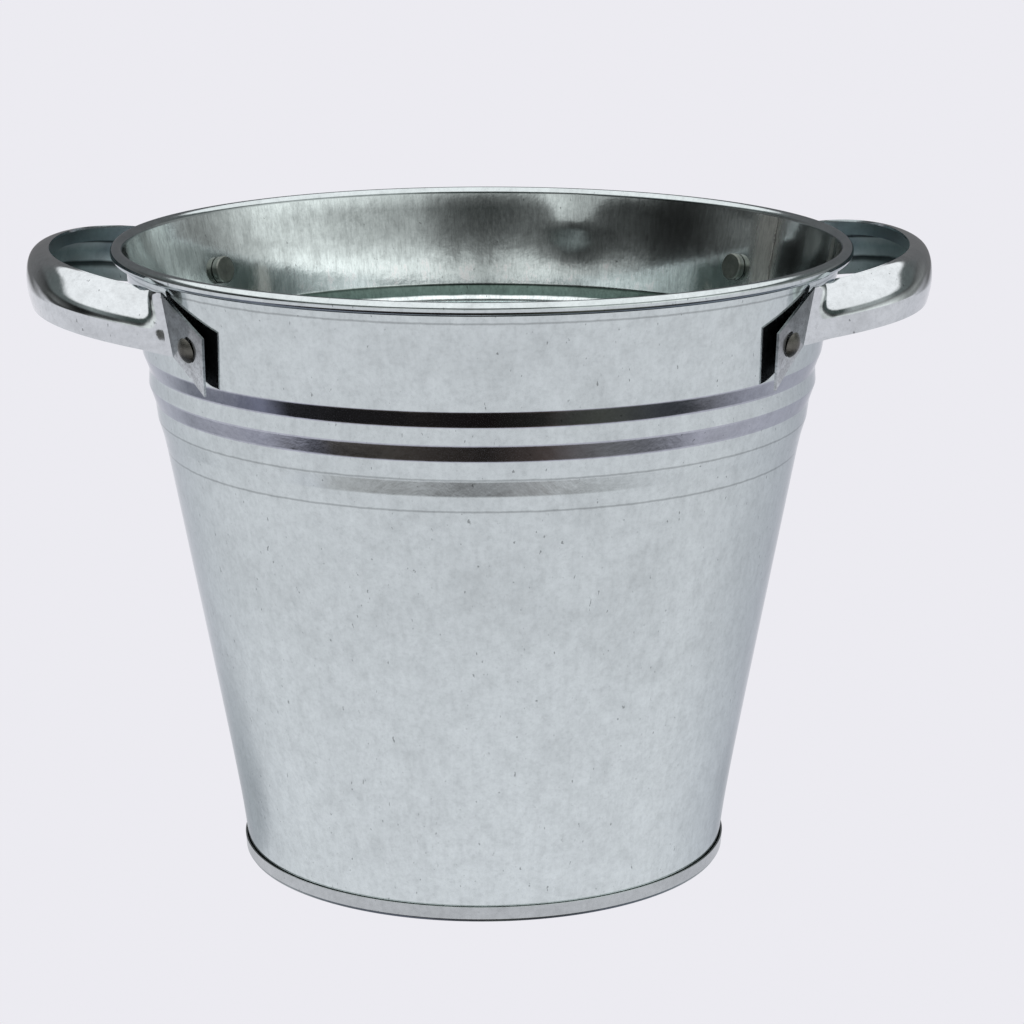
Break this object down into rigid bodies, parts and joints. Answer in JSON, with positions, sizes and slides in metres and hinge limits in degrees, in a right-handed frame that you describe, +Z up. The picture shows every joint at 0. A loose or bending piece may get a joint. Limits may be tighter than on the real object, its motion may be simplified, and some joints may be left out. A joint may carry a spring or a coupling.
{
  "type": "galvanised steel bucket planter",
  "caption": "Tapered round metal bucket planter with a wired rim, pressed ribs, a seamed foot ring and riveted strap loop handles.",
  "frame": {"origin": "middle of the foot ring, on the floor that the bucket stands on", "axes": "+Z up along the bucket's axis, +X towards the right handle, +Y towards the back"},
  "size_m": [0.3042, 0.25, 0.2135],
  "materials": {
    "zinc_sheet": "galvanised, satin, lightly mottled",
    "steel_wire": "drawn wire",
    "zinc_base": "galvanised, dull",
    "zinc_strap": "galvanised, bright",
    "rivet_steel": "dull grey-green steel"
  },
  "bodies": {
    "root": {"wall": "zinc_sheet", "rim_wire": "steel_wire", "base_pan": "zinc_base", "handle_left": "zinc_strap", "handle_right": "zinc_strap", "rivet_left_front": "rivet_steel", "rivet_left_back": "rivet_steel", "rivet_right_front": "rivet_steel", "rivet_right_back": "rivet_steel"}
  },
  "joints": []
}
